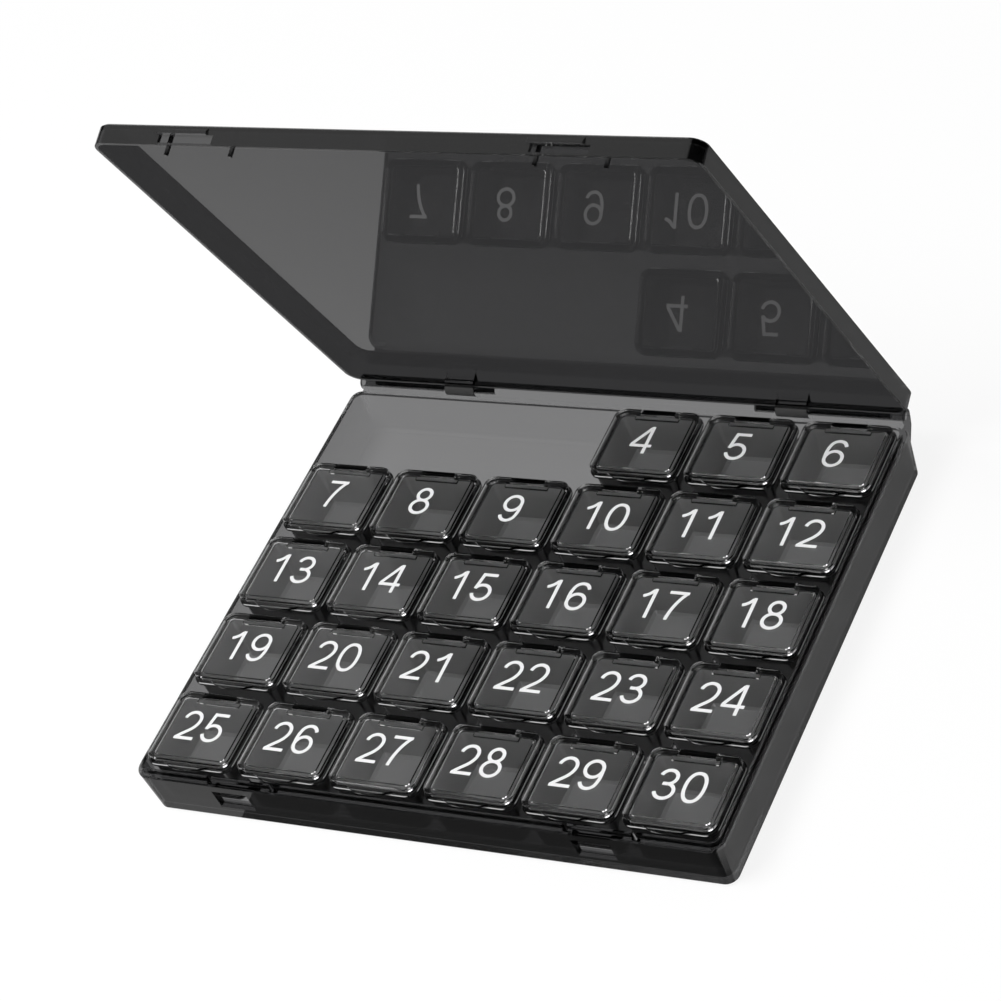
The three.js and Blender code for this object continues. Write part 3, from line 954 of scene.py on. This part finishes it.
class OBJECT_OT_pill_boxes(bpy.types.Operator):
    """Makes the small boxes, one for each day from the fourth, each with its flange and hinge barrel"""

    bl_idname = "pill.boxes"
    bl_label = "Small boxes"

    def execute(self, context):
        s = context.scene.pill_box
        top = box_height(s)
        inner = s.flange + s.wall
        section = rounded_section([
            (s.flange + s.taper + 0.9 * MM, 0), (s.flange + s.taper, 0.9 * MM), (s.flange, top - s.flange),
            (0, top - s.flange), (0, top), (inner, top),
            (inner + s.taper, s.floor + 0.8 * MM), (inner + s.taper + 0.8 * MM, s.floor),
        ], 0.3 * MM)
        piece = link("box", swept_tray("box", s.width, s.depth, s.corner, s.corner_steps, section))
        y = s.depth / 2 - s.barrel_setback
        z = top + s.lid_gap + s.lid_height - 0.05 * MM - s.barrel_radius
        half = s.barrel / 2
        web = block("web", (-half, half), (y - 0.6 * MM, y + 0.6 * MM), (top - 0.5 * MM, z))
        combine(piece, rod("barrel", s.barrel_radius, -half, half, y, z, sides=20), "UNION")
        combine(piece, web, "UNION")
        for side in (-1, 1):
            x0, x1 = sorted((side * (half - 0.8 * MM), side * (half + 0.5 * MM)))
            combine(piece, rod("bore", 0.7 * MM, x0, x1, y, z, sides=16), "DIFFERENCE")
        smooth(piece)
        half_x, half_y = s.width / 2 - inner + 0.1 * MM, s.depth / 2 - inner + 0.1 * MM

        # Painted light inside the cup, and painted highlights along the flange's rim and left edge
        def haze_at(x, y, z):
            within = abs(x) < half_x and abs(y) < half_y and s.floor - 0.1 * MM < z < top - 0.1 * MM
            rim = z > top - 0.2 * MM and max(abs(x) - s.width / 2, abs(y) - s.depth / 2) > -0.2 * MM
            left = z > top - 0.4 * MM and x < 0.35 * MM - s.width / 2
            return max(CUP_PAINTED_LIGHT * within, FLANGE_PAINTED_HIGHLIGHT * rim, LEFT_FLANGE_PAINTED_HIGHLIGHT * left)

        mark_haze(piece.data, haze_at)
        for day in DAYS:
            made = carry_to_day(f"box_{day:02d}_cup", piece.data, day, finish_named("Box plastic"))
            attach(made, f"box_{day:02d}")
            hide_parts(f"box_{day:02d}")
        bpy.data.objects.remove(piece)
        return {"FINISHED"}


class OBJECT_OT_pill_flip_lids(bpy.types.Operator):
    """Makes the flip lids, each with its bevel, lens tab and stub pins"""

    bl_idname = "pill.flip_lids"
    bl_label = "Flip lids"

    def execute(self, context):
        s = context.scene.pill_box
        rim = box_height(s) + s.lid_gap
        top = rim + s.lid_height
        ceiling = top - s.lid_panel
        width, depth = s.width - 2 * s.lid_inset, s.depth - 2 * s.lid_inset
        section = rounded_section([
            (s.lid_bevel + 1 * MM, top), (s.lid_bevel, top), (0, top - s.lid_bevel_drop), (0, rim),
            (s.lid_wall, rim), (s.lid_wall + 0.2 * MM, ceiling), (s.lid_wall + 1.2 * MM, ceiling),
        ], 0.1 * MM)
        corner = s.corner - s.lid_inset
        piece = link("flip", swept_tray("flip", width, depth, corner, s.corner_steps, section))
        front = -depth / 2
        cut = 0.5 * MM
        bm = bmesh.new()
        lens = bend((-s.tab_half, front), (0, front - 2 * s.tab_reach), (s.tab_half, front), 18)
        lens += [(s.tab_half, front + cut), (-s.tab_half, front + cut)]
        low = [bm.verts.new((x, y, rim)) for x, y in lens]
        high = [bm.verts.new((x, y, rim + 0.7 * MM)) for x, y in lens]
        bm.faces.new(low)
        bm.faces.new(high)
        wall_between(bm, low, high)
        combine(piece, as_mesh("tab", bm), "UNION")
        y = s.depth / 2 - s.barrel_setback
        z = top - 0.05 * MM - s.barrel_radius
        half = s.barrel / 2 + 0.3 * MM
        notch = y - s.barrel_radius - 0.3 * MM
        combine(piece, block(
            "notch wall", (-half - 1.3 * MM, half + 1.3 * MM), (notch - 1.3 * MM, notch + cut),
            (rim, top - 0.5 * MM),
        ), "UNION")
        combine(piece, block(
            "notch", (-half, half), (notch, depth / 2 + cut), (rim - cut, top + cut),
        ), "DIFFERENCE")
        for side in (-1, 1):
            x0, x1 = sorted((side * (half + cut), side * (half - 0.8 * MM)))
            combine(piece, rod("stub", 0.4 * MM, x0, x1, y, z, sides=16), "UNION")
        smooth(piece)
        for day in DAYS:
            made = carry_to_day(f"box_{day:02d}_flip", piece.data, day, finish_named("Flip lid plastic"))
            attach(made, f"box_{day:02d}_lid")
            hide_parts(f"box_{day:02d}_lid")
        bpy.data.objects.remove(piece)
        return {"FINISHED"}


class OBJECT_OT_pill_numbers(bpy.types.Operator):
    """Prints each day's number on its flip lid"""

    bl_idname = "pill.numbers"
    bl_label = "Numbers"

    def execute(self, context):
        s = context.scene.pill_box
        top = box_height(s) + s.lid_gap + s.lid_height
        advance, shift = ADVANCE_SHARE * s.digit, SHIFT_SHARE * s.digit
        foot = 0.35 * MM - s.digit / 2
        shapes = {digit: digit_mesh(digit, s.digit, s.ink) for digit in DIGIT_STROKES}
        for day in DAYS:
            text = str(day)
            bm = bmesh.new()
            for i, digit in enumerate(text):
                copy = shapes[digit].copy()
                x = (i - len(text) / 2) * advance + shift
                copy.transform(Matrix.Translation((x, foot, top)))
                bm.from_mesh(copy)
            mesh = bpy.data.meshes.new("number")
            bm.to_mesh(mesh)
            bm.free()
            made = carry_to_day(f"box_{day:02d}_number", mesh, day, finish_named("White ink"))
            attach(made, f"box_{day:02d}_lid")
        return {"FINISHED"}


# The stage

# Half the floor's width, and how far the floor lies below the case
FLOOR_HALF, FLOOR_DROP = 6.0, 0.3 * MM
LAMP_PLACE, LAMP_TARGET, LAMP_SIZE = (-0.45, -0.5, 1.35), (0, 0, 0.01), 0.8
# Where the camera stands, and its own right, up and back directions
CAMERA_PLACE = (0.46683, -0.52296, 0.65979)
CAMERA_RIGHT = (0.86462847, 0.38609246, -0.32148129)
CAMERA_UP = (-0.07094519, 0.72729058, 0.68265305)
CAMERA_BACK = (0.49737751, -0.56743372, 0.65622755)


class OBJECT_OT_pill_stage(bpy.types.Operator):
    """Sets the floor, the surroundings, the lamp and the camera at the photo's angle"""

    bl_idname = "pill.stage"
    bl_label = "Stage"

    def execute(self, context):
        scene = context.scene
        s = scene.pill_stage
        bm = bmesh.new()
        bmesh.ops.create_grid(bm, x_segments=8, y_segments=8, size=FLOOR_HALF)
        floor = link("floor", as_mesh("floor", bm))
        floor.data.transform(Matrix.Translation((0, 0, -FLOOR_DROP)))
        dress(floor, "Floor")
        world = bpy.data.worlds.new("Surroundings")
        scene.world = world
        white_surroundings(world, s.fill)
        self.lamp("Key lamp", s.key)
        camera = bpy.data.cameras.new("Camera")
        camera.sensor_width = 36
        camera.lens = s.lens
        camera.clip_start, camera.clip_end = 0.01, 50
        holder = bpy.data.objects.new("Camera", camera)
        scene.collection.objects.link(holder)
        turn = Matrix((CAMERA_RIGHT, CAMERA_UP, CAMERA_BACK)).transposed().to_4x4()
        holder.matrix_world = Matrix.Translation(CAMERA_PLACE) @ turn
        scene.camera = holder
        scene.view_settings.view_transform = "Standard"
        return {"FINISHED"}

    def lamp(self, name, power):
        """A soft lamp that is not seen in gloss or through clear plastic."""
        light = bpy.data.lights.new(name, "AREA")
        light.shape = "SQUARE"
        light.size = LAMP_SIZE
        light.energy = power
        holder = bpy.data.objects.new(name, light)
        bpy.context.scene.collection.objects.link(holder)
        away = Vector(LAMP_PLACE) - Vector(LAMP_TARGET)
        turn = away.to_track_quat("Z", "Y").to_matrix().to_4x4()
        holder.matrix_world = Matrix.Translation(LAMP_PLACE) @ turn
        holder.visible_glossy = holder.visible_transmission = False


class VIEW3D_PT_pill_organizer(bpy.types.Panel):
    """Lists the organizer's sizes, finishes and steps"""

    bl_idname = "VIEW3D_PT_pill_organizer"
    bl_label = "Pill organizer"
    bl_space_type = "VIEW_3D"
    bl_region_type = "UI"
    bl_category = "Organizer"

    def draw(self, context):
        scene = context.scene
        for group in (scene.pill_case, scene.pill_box, scene.pill_finish, scene.pill_stage):
            box = self.layout.box()
            for name in group.__annotations__:
                box.prop(group, name)
        for operator in OPERATORS:
            self.layout.operator(operator.bl_idname)


GROUPS = {
    "pill_case": CaseSizes, "pill_box": BoxSizes, "pill_finish": Finishes, "pill_stage": StageSettings,
}
OPERATORS = (
    OBJECT_OT_pill_case_base, OBJECT_OT_pill_case_lid, OBJECT_OT_pill_boxes, OBJECT_OT_pill_flip_lids,
    OBJECT_OT_pill_numbers, OBJECT_OT_pill_stage,
)


def register():
    for cls in (*GROUPS.values(), *OPERATORS, VIEW3D_PT_pill_organizer):
        bpy.utils.register_class(cls)
    for name, group in GROUPS.items():
        setattr(bpy.types.Scene, name, PointerProperty(type=group))


def unregister():
    for name in GROUPS:
        delattr(bpy.types.Scene, name)
    for cls in reversed((*GROUPS.values(), *OPERATORS, VIEW3D_PT_pill_organizer)):
        bpy.utils.unregister_class(cls)


def main():
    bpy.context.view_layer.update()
    register()
    for operator in OPERATORS:
        group, name = operator.bl_idname.split(".")
        getattr(getattr(bpy.ops, group), name)()


if __name__ == "__main__":
    main()
